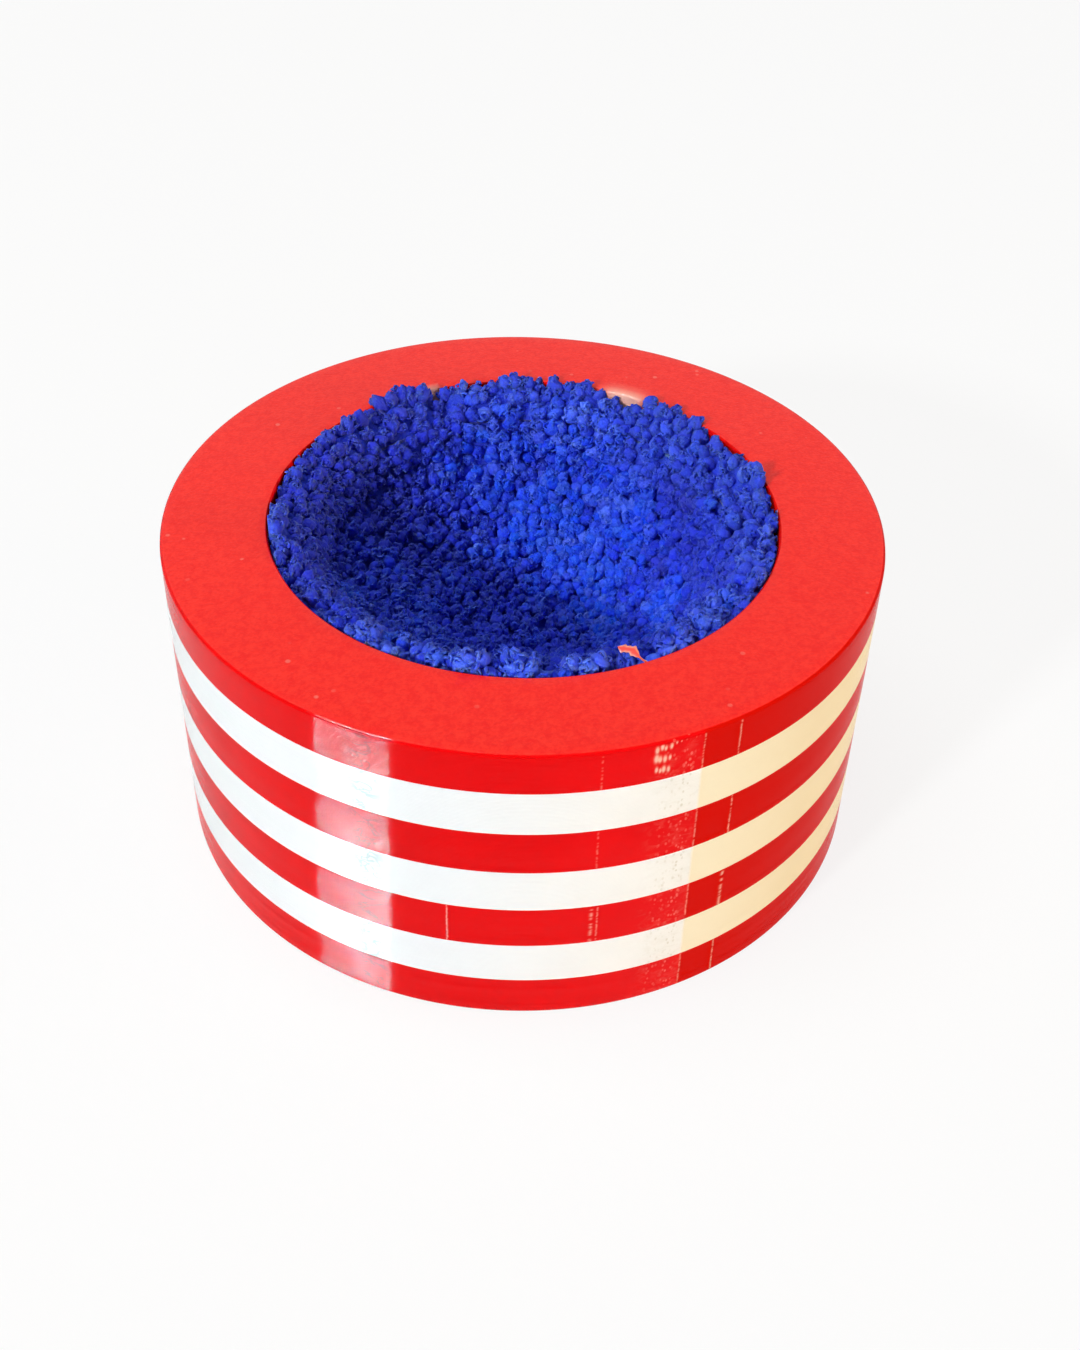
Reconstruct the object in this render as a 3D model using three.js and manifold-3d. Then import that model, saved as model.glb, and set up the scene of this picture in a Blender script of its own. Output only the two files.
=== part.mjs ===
// Striped cup that washes a golf ball: a printed shell in colour bands round a straight bore, and a
// cartridge that lifts out of the bore, with a looped pile bowl backed by sponge.
// Millimetres, +Z up, origin at the centre of the underside. The front is towards -Y.

import * as THREE from 'three';
import { mergeVertices } from 'three/addons/utils/BufferGeometryUtils.js';
import Module from 'manifold-3d';

const wasm = await Module();
wasm.setup();

// Shell
const boreRadius = 31.25;
const wallThickness = 12.75;
const bandHeight = 6;
const rimBandHeight = 5.4;
const floorThickness = 3;
const sumpDepth = 1.5;
const seatWidth = 4.2;
const rimEdge = 0.45;
const boreEdge = 0.3;
const footEdge = 0.6;
const lowerBands = ['red_base', 'white', 'red', 'white', 'red', 'white'];

// Cartridge: the cup that carries the liner
const slideClearance = 0.4;
const cupWall = 1.6;
const cupFloor = 1.6;
const cupFootEdge = 0.8;
const rimDrop = 3.3;
const skirtWall = 1.2;
const beadHeight = 0.6;
const beadReach = 0.4;
const ledgeHeight = 2.6;
const ledgeWidth = 1.95;
const drainRadius = 1.6;
const drainMargin = 3;
const drainRings = 3;
const drainsPerRing = 6;

// Hoop that clamps the liner's hem, and the rubber ring that grips the bore
const hoopWidth = 1.8;
const hoopHeight = 1.8;
const hoopEdge = 0.4;
const snapClearance = 0.2;
const gripCord = 1.8;
const gripReach = 0.25;
const gripPlay = 0.2;
const gripDrop = 0.8;

// Sponge and pile
const softClearance = 0.3;
const padRadius = 15;
const padThickness = 6;
const pileDrop = 0.9;
const pileThickness = 5.8;
const pileWall = 3.2;
const hemThickness = 0.8;
const neckDrop = 5;
const hollowShiftX = 8;
const hollowShiftY = 3;
const bowlPower = 1.5;
const tuftHeight = 1;
const tuftPitch = 10;
const rimWaver = 0.45;

// How finely round pieces and the pile are divided
const roundSides = 72;
const drainSides = 12;
const gripSides = 6;
const pileSides = 60;
const poleSides = [15, 30];
const pileBackSides = 30;
const bowlRings = 9;
const flareRings = 4;
const edgeRings = 2;
const sleeveRings = 4;
const padRings = 2;
const waverCount = 3;
const rightAngle = Math.PI / 2;

// Levels and radii of the shell
const shellRadius = boreRadius + wallThickness;
const shellHeight = lowerBands.length * bandHeight + rimBandHeight;
const seatLevel = floorThickness + sumpDepth;
const sumpRadius = boreRadius - seatWidth;

// Radii of the cartridge, from the bore inwards
const cupRadius = boreRadius - slideClearance;
const cupInner = cupRadius - cupWall;
const skirtInner = cupRadius - skirtWall;
const hoopOuter = skirtInner - snapClearance;
const hoopInner = hoopOuter - hoopWidth;
const ledgeInner = cupInner - ledgeWidth;
const backRadius = Math.min(hoopInner, ledgeInner) - softClearance;
const neckRadius = backRadius - pileWall;
const gripOuter = cupRadius + gripReach;
const grooveFloor = gripOuter - gripCord - gripPlay;
const drainPitch = (sumpRadius - drainMargin - drainRadius) / drainRings;
const sleeveInner = padRadius + softClearance;
const sleeveOuter = cupInner - softClearance;
const hemRadius = skirtInner - softClearance;
const lipRadius = cupRadius;

// Levels of the cartridge, from its own underside
const skirtTop = shellHeight - rimDrop - seatLevel;
const beadBottom = skirtTop - beadHeight;
const hoopTop = beadBottom - snapClearance;
const hoopBottom = hoopTop - hoopHeight;
const hemTop = hoopBottom - snapClearance;
const hemBottom = hemTop - hemThickness;
const ledgeTop = hemBottom - snapClearance;
const ledgeBottom = ledgeTop - ledgeHeight;
const wallTop = ledgeBottom - ledgeWidth;
const grooveTop = ledgeTop - gripDrop;
const grooveBottom = grooveTop - gripCord - 2 * gripPlay;
const padBottom = cupFloor + softClearance;
const padTop = padBottom + padThickness;
const backLow = padTop + softClearance;
const backHigh = wallTop - softClearance;
const bowlLow = backLow + pileThickness;
const pileTop = shellHeight - pileDrop - seatLevel;
const neckLevel = pileTop - neckDrop;
const lipUnder = skirtTop + softClearance;
const crestRadius = lipRadius - (pileTop - lipUnder);

// Where the pad ends and the sleeve begins on the back of the bowl, from 0 at its bottom to 1 at its side
const padShare = padRadius / (backRadius + softClearance);
const sleeveShare = sleeveInner / (backRadius + softClearance);

// A surface finish with its name, colour and roughness
function coat(name, color, roughness) {
  return new THREE.MeshStandardMaterial({ name, color, roughness, metalness: 0 });
}

const finish = {
  red: coat('red_print', 0xe0201c, 0.3),
  white: coat('white_print', 0xf4f6f4, 0.3),
  black: coat('black_print', 0x1b1b1e, 0.45),
  pile: coat('blue_pile', 0x1c33c4, 1),
  sponge: coat('sponge', 0xe8c860, 1),
  rubber: coat('rubber', 0x141414, 0.8),
};

// A named piece with a material of its own
function piece(name, geometry, material) {
  const mesh = new THREE.Mesh(geometry, material.clone());
  mesh.name = name;
  return mesh;
}

// A round body from a section of [radius, height] points, listed anticlockwise.
// A section that doesn't start on the axis closes on its first point.
function turned(section, sides = roundSides) {
  const points = section.map(([radius, height]) => new THREE.Vector2(radius, height));
  if (points[0].x > 0) points.push(points[0].clone());
  const geometry = new THREE.LatheGeometry(points, sides);
  geometry.rotateX(Math.PI / 2);
  return geometry;
}

// A closed geometry as a solid for cutting, and a cut solid as a geometry
function solidOf(geometry) {
  const bare = geometry.clone();
  bare.deleteAttribute('normal');
  bare.deleteAttribute('uv');
  const merged = mergeVertices(bare);
  return new wasm.Manifold(new wasm.Mesh({
    numProp: 3,
    vertProperties: new Float32Array(merged.attributes.position.array),
    triVerts: new Uint32Array(merged.index.array),
  }));
}

function geometryOf(solid) {
  const mesh = solid.getMesh();
  const geometry = new THREE.BufferGeometry();
  geometry.setAttribute('position', new THREE.BufferAttribute(mesh.vertProperties, 3));
  geometry.setIndex(new THREE.BufferAttribute(mesh.triVerts, 1));
  return geometry;
}

// The lowest band is a cup: its floor is sunk inside a ring-shaped seat, and the sump holds spare water
function baseBand() {
  return turned([
    [0, 0],
    [shellRadius - footEdge, 0],
    [shellRadius, footEdge],
    [shellRadius, bandHeight],
    [boreRadius, bandHeight],
    [boreRadius, seatLevel],
    [sumpRadius, seatLevel],
    [sumpRadius, floorThickness],
    [0, floorThickness],
  ]);
}

function plainBand() {
  return turned([
    [boreRadius, 0],
    [shellRadius, 0],
    [shellRadius, bandHeight],
    [boreRadius, bandHeight],
  ]);
}

// The rim band has softened edges at its outside and at the mouth of the bore
function rimBand() {
  return turned([
    [boreRadius, 0],
    [shellRadius, 0],
    [shellRadius, rimBandHeight - rimEdge],
    [shellRadius - rimEdge, rimBandHeight],
    [boreRadius + boreEdge, rimBandHeight],
    [boreRadius, rimBandHeight - boreEdge],
  ]);
}

function shell() {
  const group = new THREE.Group();
  lowerBands.forEach((label, index) => {
    const geometry = index === 0 ? baseBand() : plainBand();
    const band = piece(`band_${index + 1}_${label}`, geometry, finish[label.split('_')[0]]);
    band.position.z = index * bandHeight;
    group.add(band);
  });
  const rim = piece(`band_${lowerBands.length + 1}_red_rim`, rimBand(), finish.red);
  rim.position.z = lowerBands.length * bandHeight;
  group.add(rim);
  return group;
}

// Centres of the drain holes: one in the middle, then rings of six, twelve and so on
function drainCentres() {
  const centres = [[0, 0]];
  for (let ring = 1; ring <= drainRings; ring += 1) {
    const count = drainsPerRing * ring;
    for (let k = 0; k < count; k += 1) {
      const turn = (2 * Math.PI * k) / count;
      centres.push([ring * drainPitch * Math.cos(turn), ring * drainPitch * Math.sin(turn)]);
    }
  }
  return centres;
}

// The cup has a thin wall, a ledge for the liner's hem, a groove for the grip ring and, above the ledge,
// a springy skirt with a bead that the hoop snaps under
function insertCup() {
  const wall = turned([
    [0, 0],
    [cupRadius - cupFootEdge, 0],
    [cupRadius, cupFootEdge],
    [cupRadius, grooveBottom],
    [grooveFloor, grooveBottom],
    [grooveFloor, grooveTop],
    [cupRadius, grooveTop],
    [cupRadius, skirtTop],
    [skirtInner, skirtTop],
    [skirtInner - beadReach, skirtTop - beadHeight / 2],
    [skirtInner, beadBottom],
    [skirtInner, ledgeTop],
    [ledgeInner, ledgeTop],
    [ledgeInner, ledgeBottom],
    [cupInner, wallTop],
    [cupInner, cupFloor],
    [0, cupFloor],
  ]);
  let cup = solidOf(wall);
  for (const [x, y] of drainCentres()) {
    const drill = new THREE.CylinderGeometry(drainRadius, drainRadius, 2 * cupFloor, drainSides);
    drill.rotateX(Math.PI / 2);
    drill.translate(x, y, cupFloor / 2);
    cup = cup.subtract(solidOf(drill));
  }
  return geometryOf(cup);
}

function hemHoop() {
  return turned([
    [hoopInner + hoopEdge, hoopBottom],
    [hoopOuter - hoopEdge, hoopBottom],
    [hoopOuter, hoopBottom + hoopEdge],
    [hoopOuter, hoopTop],
    [hoopInner + hoopEdge, hoopTop],
    [hoopInner, hoopTop - hoopEdge],
    [hoopInner, hoopBottom + hoopEdge],
  ]);
}

function gripRing() {
  const ring = new THREE.TorusGeometry(gripOuter - gripCord / 2, gripCord / 2, gripSides, roundSides);
  ring.translate(0, 0, (grooveTop + grooveBottom) / 2);
  return ring;
}

// A point of the funnel that the sponge is shaped to and the liner's back follows. The share is 0 at
// the bottom and 1 at the side, and the gap sets the sponge off the liner.
function backPoint(share, gap = 0) {
  const radius = (backRadius + gap) * share;
  const level = backLow - gap + (backHigh - backLow + gap) * share ** bowlPower;
  return [radius, level];
}

// Evenly spaced values from one to another, both included
function spread(from, to, steps) {
  return Array.from({ length: steps + 1 }, (_, k) => from + ((to - from) * k) / steps);
}

// The pad's top is dished to the liner's back
function spongePad() {
  const dish = spread(padShare, 0, padRings).map((share) => backPoint(share, softClearance));
  return turned([[0, padBottom], [padRadius, padBottom], ...dish]);
}

// The sleeve stands round the pad, and flares to the liner's back above it
function spongeSleeve() {
  const flare = spread(1, sleeveShare, sleeveRings);
  return turned([
    [sleeveInner, padBottom],
    [sleeveOuter, padBottom],
    [sleeveOuter, backHigh],
    ...flare.map((share) => backPoint(share, softClearance)),
  ]);
}

// Tufts of pile, as waves that cross on the surface: how far it stands out at a point
function tuft(x, y, z) {
  const pace = (2 * Math.PI) / tuftPitch;
  const across = Math.sin(pace * x) * Math.sin(pace * y);
  const down = Math.sin(pace * (x + y)) * Math.sin(pace * z);
  return (tuftHeight * (across + down)) / 2;
}

// A ring of points at one height
function ringAt(radius, level, sides) {
  return Array.from({ length: sides }, (_, k) => {
    const angle = (2 * Math.PI * k) / sides;
    return new THREE.Vector3(radius * Math.cos(angle), radius * Math.sin(angle), level);
  });
}

// A ring on the pile side, where tufts stand out along the surface. The tilt is the surface's own:
// 0 where it faces up and a right angle where it faces the axis. The lean moves it off the axis,
// from 0 to the whole shift of the hollow, and the part that faces up wavers round the rim.
function tuftedRing(radius, level, tilt, lean = 0, sides = pileSides) {
  return ringAt(radius, level, sides).map((point) => {
    const angle = Math.atan2(point.y, point.x);
    const push = tuft(point.x, point.y, level);
    const inward = push * Math.sin(tilt);
    const waver = rimWaver * Math.sin(waverCount * angle) * (1 - lean) * Math.cos(tilt);
    return new THREE.Vector3(
      point.x - inward * Math.cos(angle) + lean * hollowShiftX,
      point.y - inward * Math.sin(angle) + lean * hollowShiftY,
      level + push * Math.cos(tilt) + waver,
    );
  });
}

// Triangles between two rings of points. Counts may be equal, one a multiple of the other, or one point.
function joinRings(first, second, triangles) {
  const steps = Math.max(first.length, second.length);
  for (let k = 0; k < steps; k += 1) {
    const a = first[Math.floor((k * first.length) / steps)];
    const nextA = first[Math.floor(((k + 1) * first.length) / steps) % first.length];
    const b = second[Math.floor((k * second.length) / steps)];
    const nextB = second[Math.floor(((k + 1) * second.length) / steps) % second.length];
    if (b !== nextB) triangles.push(a, b, nextB);
    if (a !== nextA) triangles.push(a, nextB, nextA);
  }
}

// A closed skin through rings of points, from one pole to the other
function skinned(rings) {
  const corners = [];
  for (let k = 1; k < rings.length; k += 1) joinRings(rings[k - 1], rings[k], corners);
  const positions = corners.flatMap((point) => point.toArray());
  const geometry = new THREE.BufferGeometry();
  geometry.setAttribute('position', new THREE.Float32BufferAttribute(positions, 3));
  return mergeVertices(geometry);
}

// The pile bowl: a funnel that is deepest right of the middle, a flare inside the hoop, and a lip that
// rolls out over it to the wall of the bore. Behind it are the clamped hem and a smooth back.
function pileLiner() {
  const floorPoint = new THREE.Vector3(hollowShiftX, hollowShiftY, bowlLow);
  const depth = neckLevel - bowlLow;
  const tiltAt = (share) => Math.atan((bowlPower * depth * share ** (bowlPower - 1)) / neckRadius);
  const bowl = spread(0, 1, bowlRings).slice(1).map((share, index) => {
    const sides = poleSides[index] ?? pileSides;
    const level = bowlLow + depth * share ** bowlPower;
    return tuftedRing(neckRadius * share, level, tiltAt(share), 1 - share, sides);
  });
  const neckTilt = tiltAt(1);
  const flare = spread(neckTilt, 0, flareRings).slice(1).map((tilt) => {
    const radius = crestRadius - ((crestRadius - neckRadius) * Math.sin(tilt)) / Math.sin(neckTilt);
    const climb = (Math.cos(tilt) - Math.cos(neckTilt)) / (1 - Math.cos(neckTilt));
    return tuftedRing(radius, neckLevel + neckDrop * climb, tilt);
  });
  const edge = spread(0, rightAngle, edgeRings).slice(1).map((turn) => {
    const radius = crestRadius + (lipRadius - crestRadius) * Math.sin(turn);
    return ringAt(radius, lipUnder + (pileTop - lipUnder) * Math.cos(turn), pileSides);
  });
  const hem = [
    [backRadius, lipUnder],
    [backRadius, hemTop],
    [hemRadius, hemTop],
    [hemRadius, hemBottom],
    [backRadius, hemBottom],
  ].map(([radius, level]) => ringAt(radius, level, pileBackSides));
  const backShares = [...spread(1, padShare, sleeveRings), ...spread(padShare, 0, padRings).slice(1, -1)];
  const back = backShares.map((share) => ringAt(...backPoint(share), pileBackSides));
  const backFloor = new THREE.Vector3(0, 0, backLow);
  return skinned([[floorPoint], ...bowl, ...flare, ...edge, ...hem, ...back, [backFloor]]);
}

function cartridge() {
  const group = new THREE.Group();
  group.add(
    piece('insert_cup', insertCup(), finish.black),
    piece('sponge_pad', spongePad(), finish.sponge),
    piece('sponge_sleeve', spongeSleeve(), finish.sponge),
    piece('pile_liner', pileLiner(), finish.pile),
    piece('hem_hoop', hemHoop(), finish.black),
    piece('grip_ring', gripRing(), finish.rubber),
  );
  group.position.z = seatLevel;
  return group;
}

const washer = new THREE.Group();
washer.add(shell(), cartridge());

export default washer;
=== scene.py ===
"""A striped golf ball washer: a cup printed in two colours, and a bowl of looped pile inside it.
Metres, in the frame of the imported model. The front is towards -Y."""

import math

import bmesh
import bpy
import numpy as np
from mathutils import Matrix, Vector, noise


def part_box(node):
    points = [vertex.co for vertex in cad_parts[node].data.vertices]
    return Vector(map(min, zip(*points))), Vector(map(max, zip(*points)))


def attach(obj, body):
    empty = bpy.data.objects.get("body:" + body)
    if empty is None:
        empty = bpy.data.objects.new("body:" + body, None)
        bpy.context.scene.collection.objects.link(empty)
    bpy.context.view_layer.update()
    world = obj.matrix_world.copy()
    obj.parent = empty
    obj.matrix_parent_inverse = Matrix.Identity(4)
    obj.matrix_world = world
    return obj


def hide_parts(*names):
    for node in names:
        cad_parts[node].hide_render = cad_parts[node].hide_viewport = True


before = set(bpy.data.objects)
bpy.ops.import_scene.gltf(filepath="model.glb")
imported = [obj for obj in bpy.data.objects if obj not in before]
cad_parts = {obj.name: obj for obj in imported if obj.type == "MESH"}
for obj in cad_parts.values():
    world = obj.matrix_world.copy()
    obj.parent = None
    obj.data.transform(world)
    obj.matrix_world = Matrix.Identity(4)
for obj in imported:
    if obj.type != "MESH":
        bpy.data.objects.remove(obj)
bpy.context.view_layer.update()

MM = 0.001
scene = bpy.context.scene
scene.view_settings.view_transform = "Standard"

# Sizes of the cup in millimetres, as the solids have them
SHELL_R = 44.0
BORE_R = 31.25
BAND_H = 6.0
RIM_H = 5.4
HEIGHT = 41.4
SEAT = 4.5
FLOOR_T = 3.0
SUMP_R = 27.05
FOOT_EDGE = 0.6
TOP_EDGE = 0.45
BORE_EDGE = 0.3
LAYER = 0.2
LAYER_SLOPE = 0.58


# Camera: fitted to the rings of the photograph, angles in degrees, place in metres

CAMERA_PITCH, CAMERA_ROLL = 40.11, -1.75
CAMERA_PLACE = (0.00255, -0.1727, 0.1609)
CAMERA_LENS, CAMERA_SENSOR = 45.46, 36
CAMERA_CLIP = (0.005, 20)


def make_camera():
    pitch, roll = math.radians(CAMERA_PITCH), math.radians(CAMERA_ROLL)
    forward = Vector((0, math.cos(pitch), -math.sin(pitch)))
    up = Vector((0, math.sin(pitch), math.cos(pitch)))
    right = Vector((1, 0, 0))
    c, s = math.cos(roll), math.sin(roll)
    side = c * right - s * up
    top = s * right + c * up
    data = bpy.data.cameras.new("camera")
    data.lens = CAMERA_LENS
    data.sensor_width = CAMERA_SENSOR
    data.clip_start, data.clip_end = CAMERA_CLIP
    cam = bpy.data.objects.new("camera", data)
    scene.collection.objects.link(cam)
    turn = Matrix((side, top, -forward)).transposed().to_4x4()
    cam.matrix_world = Matrix.Translation(Vector(CAMERA_PLACE)) @ turn
    scene.camera = cam


make_camera()


# Mesh helpers

def mesh_object(name, points, faces, sharp=None):
    mesh = bpy.data.meshes.new(name)
    mesh.from_pydata([tuple(p) for p in np.asarray(points, float) * MM], [], faces)
    mesh.validate()
    mesh.polygons.foreach_set("use_smooth", [True] * len(mesh.polygons))
    if sharp:
        mesh.set_sharp_from_angle(angle=math.radians(sharp))
    mesh.update()
    obj = bpy.data.objects.new(name, mesh)
    scene.collection.objects.link(obj)
    return obj


def attribute(obj, name, values):
    layer = obj.data.attributes.new(name, "FLOAT", "POINT")
    layer.data.foreach_set("value", np.asarray(values, np.float32))


def grid_faces(rows, cols, close_rows, offset=0):
    """Quads of a grid of points whose columns run round, facing away from the axis where rows rise."""
    faces = []
    for i in range(rows if close_rows else rows - 1):
        a, b = offset + i * cols, offset + ((i + 1) % rows) * cols
        for k in range(cols):
            n = (k + 1) % cols
            faces.append((a + k, a + n, b + n, b + k))
    return faces


# Node helpers

class Nodes:
    """A material's nodes, built left to right."""

    def __init__(self, name):
        self.material = bpy.data.materials.new(name)
        self.material.use_nodes = True
        self.tree = self.material.node_tree
        self.tree.nodes.clear()
        self.out = self.tree.nodes.new("ShaderNodeOutputMaterial")

    def new(self, kind, **settings):
        node = self.tree.nodes.new(kind)
        for key, value in settings.items():
            setattr(node, key, value)
        return node

    def link(self, source, target):
        self.tree.links.new(source, target)

    def put(self, socket, value):
        if isinstance(value, bpy.types.NodeSocket):
            self.link(value, socket)
        else:
            socket.default_value = value

    def math(self, operation, *values, clamp=False):
        node = self.new("ShaderNodeMath", operation=operation, use_clamp=clamp)
        for socket, value in zip(node.inputs, values):
            self.put(socket, value)
        return node.outputs[0]

    def value(self, name):
        return self.new("ShaderNodeAttribute", attribute_name=name).outputs["Fac"]

    def coords(self):
        return self.new("ShaderNodeTexCoord").outputs["Object"]

    def xyz(self, vector):
        node = self.new("ShaderNodeSeparateXYZ")
        self.link(vector, node.inputs[0])
        return node.outputs

    def scaled(self, vector, factors):
        node = self.new("ShaderNodeMapping")
        self.link(vector, node.inputs["Vector"])
        node.inputs["Scale"].default_value = factors
        return node.outputs[0]

    def noise(self, vector, scale, detail=2.0, rough=0.5, distort=0.0):
        node = self.new("ShaderNodeTexNoise")
        self.link(vector, node.inputs["Vector"])
        node.inputs["Scale"].default_value = scale
        node.inputs["Detail"].default_value = detail
        node.inputs["Roughness"].default_value = rough
        node.inputs["Distortion"].default_value = distort
        return node.outputs["Fac"]

    def cells(self, vector, scale):
        node = self.new("ShaderNodeTexVoronoi", feature="F1")
        self.link(vector, node.inputs["Vector"])
        node.inputs["Scale"].default_value = scale
        return node

    def span(self, value, low, high, to_low=0.0, to_high=1.0):
        node = self.new("ShaderNodeMapRange", interpolation_type="SMOOTHSTEP")
        self.put(node.inputs["Value"], value)
        for key, number in zip(("From Min", "From Max", "To Min", "To Max"), (low, high, to_low, to_high)):
            self.put(node.inputs[key], number)
        return node.outputs[0]

    def mix(self, factor, first, second, blend="MIX"):
        node = self.new("ShaderNodeMix", data_type="RGBA", blend_type=blend)
        self.put(node.inputs[0], factor)
        self.put(node.inputs[6], first)
        self.put(node.inputs[7], second)
        return node.outputs[2]

    def bump(self, height, depth_mm, strength=1.0, normal=None):
        node = self.new("ShaderNodeBump")
        node.inputs["Strength"].default_value = strength
        node.inputs["Distance"].default_value = depth_mm * MM
        self.link(height, node.inputs["Height"])
        if normal:
            self.link(normal, node.inputs["Normal"])
        return node.outputs[0]

    def shader(self, **values):
        node = self.new("ShaderNodeBsdfPrincipled")
        for key, value in values.items():
            self.put(node.inputs[key.replace("_", " ")], value)
        self.link(node.outputs[0], self.out.inputs["Surface"])
        return self.material


def colour(r, g, b):
    return (r, g, b, 1.0)


# Upward part of the normal from which a face counts as flat, and how strongly walls and flat faces reflect
FLAT_FROM, FLAT_FULL = 0.88, 0.99
WALL_SHINE, FACE_SHINE = 0.022, 0.29
# How far the layers' slope varies, where a wavy line on the wall starts and is full, and how strongly specks,
# scars with their painted glints, and those lines tint
SWING = 0.36
CONTOUR_EDGE, CONTOUR_CORE = 0.034, 0.012
SPECK_SHARE, SCAR_AND_GLINT_SHARE, LINE_SHARE = 0.22, 0.8, 0.8


def print_plastic(name, wall, face, scar_and_glint, grey, gloss):
    """Glossy printed plastic: rounded level layers on the walls, which smear a reflection up and down but
    not round, a raster on flat faces, pale scars where the nozzle started and stopped, which also carry painted
    glints.
    wall is two tones and a third, the painted warm light and shade of its right side, face is two tones, gloss is the
    wall's roughness."""
    n = Nodes(name)
    at = n.coords()
    z = n.xyz(at)[2]
    plain = n.new("ShaderNodeNewGeometry").outputs["Normal"]
    flat = n.span(n.math("ABSOLUTE", n.xyz(plain)[2]), FLAT_FROM, FLAT_FULL)
    steep = n.math("SUBTRACT", 1.0, flat)
    flaw = n.value("flaw")
    scars_and_glints = n.value("scar_and_glint")
    ripple = n.noise(n.scaled(at, (420, 420, 2600)), 1.0, 2.0, 0.55)
    phase = n.math("MULTIPLY_ADD", ripple, 1.6, n.math("MULTIPLY", z, 2 * math.pi / (LAYER * MM)))
    swell = n.noise(n.scaled(at, (600, 600, 1500)), 1.0, 2.0, 0.5, 0.5)
    steepness = n.math("MULTIPLY_ADD", swell, SWING, LAYER_SLOPE - SWING / 2)
    slope = n.math("MULTIPLY", n.math("SINE", phase), n.math("MULTIPLY", steep, steepness))
    lean = n.new("ShaderNodeCombineXYZ")
    n.link(slope, lean.inputs["Z"])
    layered = n.new("ShaderNodeVectorMath", operation="ADD")
    n.link(plain, layered.inputs[0])
    n.link(lean.outputs[0], layered.inputs[1])
    unit = n.new("ShaderNodeVectorMath", operation="NORMALIZE")
    n.link(layered.outputs[0], unit.inputs[0])
    wavy = n.noise(n.scaled(at, (170, 170, 900)), 1.0, 2.0, 0.5)
    hills = n.noise(n.scaled(at, (300, 300, 520)), 1.0, 2.0, 0.6, 0.7)
    contour = n.math("ABSOLUTE", n.math("SUBTRACT", hills, 0.5))
    line = n.math("MULTIPLY", n.span(contour, CONTOUR_EDGE, CONTOUR_CORE),
                  n.math("MULTIPLY", n.value("wavy"), steep))
    grain = n.noise(at, 2600.0, 3.0, 0.65)
    ripples = n.math("MULTIPLY", wavy, n.math("MULTIPLY_ADD", flaw, 0.10, 0.035))
    raster = n.math("MULTIPLY", grain, n.math("MULTIPLY", flat, 0.05))
    normal = n.bump(n.math("ADD", ripples, raster), 1.0, 1.0, unit.outputs[0])
    speck_cell = n.cells(at, 520.0)
    speck = n.span(speck_cell.outputs["Distance"], 0.2, 0.1)
    chance = n.xyz(speck_cell.outputs["Color"])[0]
    rare = n.span(n.math("ADD", chance, n.math("MULTIPLY", n.noise(at, 70.0, 1.0), 0.5)), 1.10, 1.22)
    specks = n.math("MULTIPLY", n.math("MULTIPLY", speck, rare), flat)
    drift = n.noise(at, 120.0, 4.0, 0.6)
    side = n.mix(n.span(drift, 0.3, 0.7), wall[0], wall[1])
    blotch = n.noise(at, 800.0, 4.0, 0.7)
    top = n.mix(n.span(n.math("ADD", grain, blotch), 0.75, 1.25), face[0], face[1])
    # The wall's right side takes its third tone: painted warm light and shade
    painted_warm_light = n.value("painted_warm_light")
    side = n.mix(n.math("MULTIPLY", painted_warm_light, 0.8), side, wall[2])
    body = n.mix(flat, side, top)
    mottle = n.span(n.noise(n.scaled(at, (700, 700, 1100)), 1.0, 3.0, 0.6, 0.8), 0.45, 0.7)
    crumb_cell = n.cells(n.scaled(at, (1, 1, 0.7)), 2300.0)
    crumb = n.math("MULTIPLY", n.span(crumb_cell.outputs["Distance"], 0.5, 0.25),
                   n.span(n.xyz(crumb_cell.outputs["Color"])[1], 0.5, 0.56))
    crumbed = n.math("MULTIPLY", n.math("MULTIPLY", crumb, steep), n.value("crumb"))
    dullness = n.math("MULTIPLY_ADD", n.math("MULTIPLY", flaw, mottle), 0.13, n.math("MULTIPLY", crumbed, 0.6))
    dulled = n.mix(dullness, body, grey)
    lined = n.mix(n.math("MULTIPLY", line, LINE_SHARE), dulled, colour(0.6, 0.6, 0.6), "MULTIPLY")
    # Pale scars, with the painted glints of the bore's edge and of the rim's blobs
    marked = n.mix(n.math("MULTIPLY", scars_and_glints, SCAR_AND_GLINT_SHARE, clamp=True), lined, scar_and_glint)
    marked = n.mix(n.math("MULTIPLY", specks, SPECK_SHARE), marked, scar_and_glint)
    uneven = n.math("MULTIPLY_ADD", flat, 0.25, n.math("MULTIPLY", line, 0.3))
    rough = n.math("ADD", uneven, n.math("MULTIPLY_ADD", drift, 0.02, gloss))
    shine = n.math("MULTIPLY_ADD", flat, FACE_SHINE, WALL_SHINE)
    muted = n.math("MAXIMUM", line, n.math("MULTIPLY", painted_warm_light, steep))
    shine = n.math("MULTIPLY", shine, n.math("MULTIPLY_ADD", muted, -0.8, 1.0))
    return n.shader(Base_Color=marked, Normal=normal, Roughness=rough, IOR=1.47, Specular_IOR_Level=shine)


red = print_plastic(
    "red_print",
    # The third wall tone is painted warm light and shade for the right side
    wall=(colour(0.75, 0.002, 0.003), colour(0.70, 0.002, 0.003), colour(0.57, 0.005, 0.001)),
    # The face is lighter and more orange than the wall: painted light and reflection on the top
    face=(colour(0.99, 0.024, 0.010), colour(0.90, 0.005, 0.002)),
    scar_and_glint=colour(0.96, 0.58, 0.45), grey=colour(0.86, 0.20, 0.16), gloss=0.05)
white = print_plastic(
    "white_print",
    # The third wall tone is painted warm light and shade for the right side
    wall=(colour(0.855, 0.87, 0.885), colour(0.835, 0.85, 0.865), colour(0.87, 0.79, 0.58)),
    face=(colour(0.84, 0.84, 0.83), colour(0.80, 0.80, 0.79)),
    scar_and_glint=colour(0.93, 0.86, 0.78), grey=colour(0.58, 0.56, 0.50), gloss=0.07)
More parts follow.
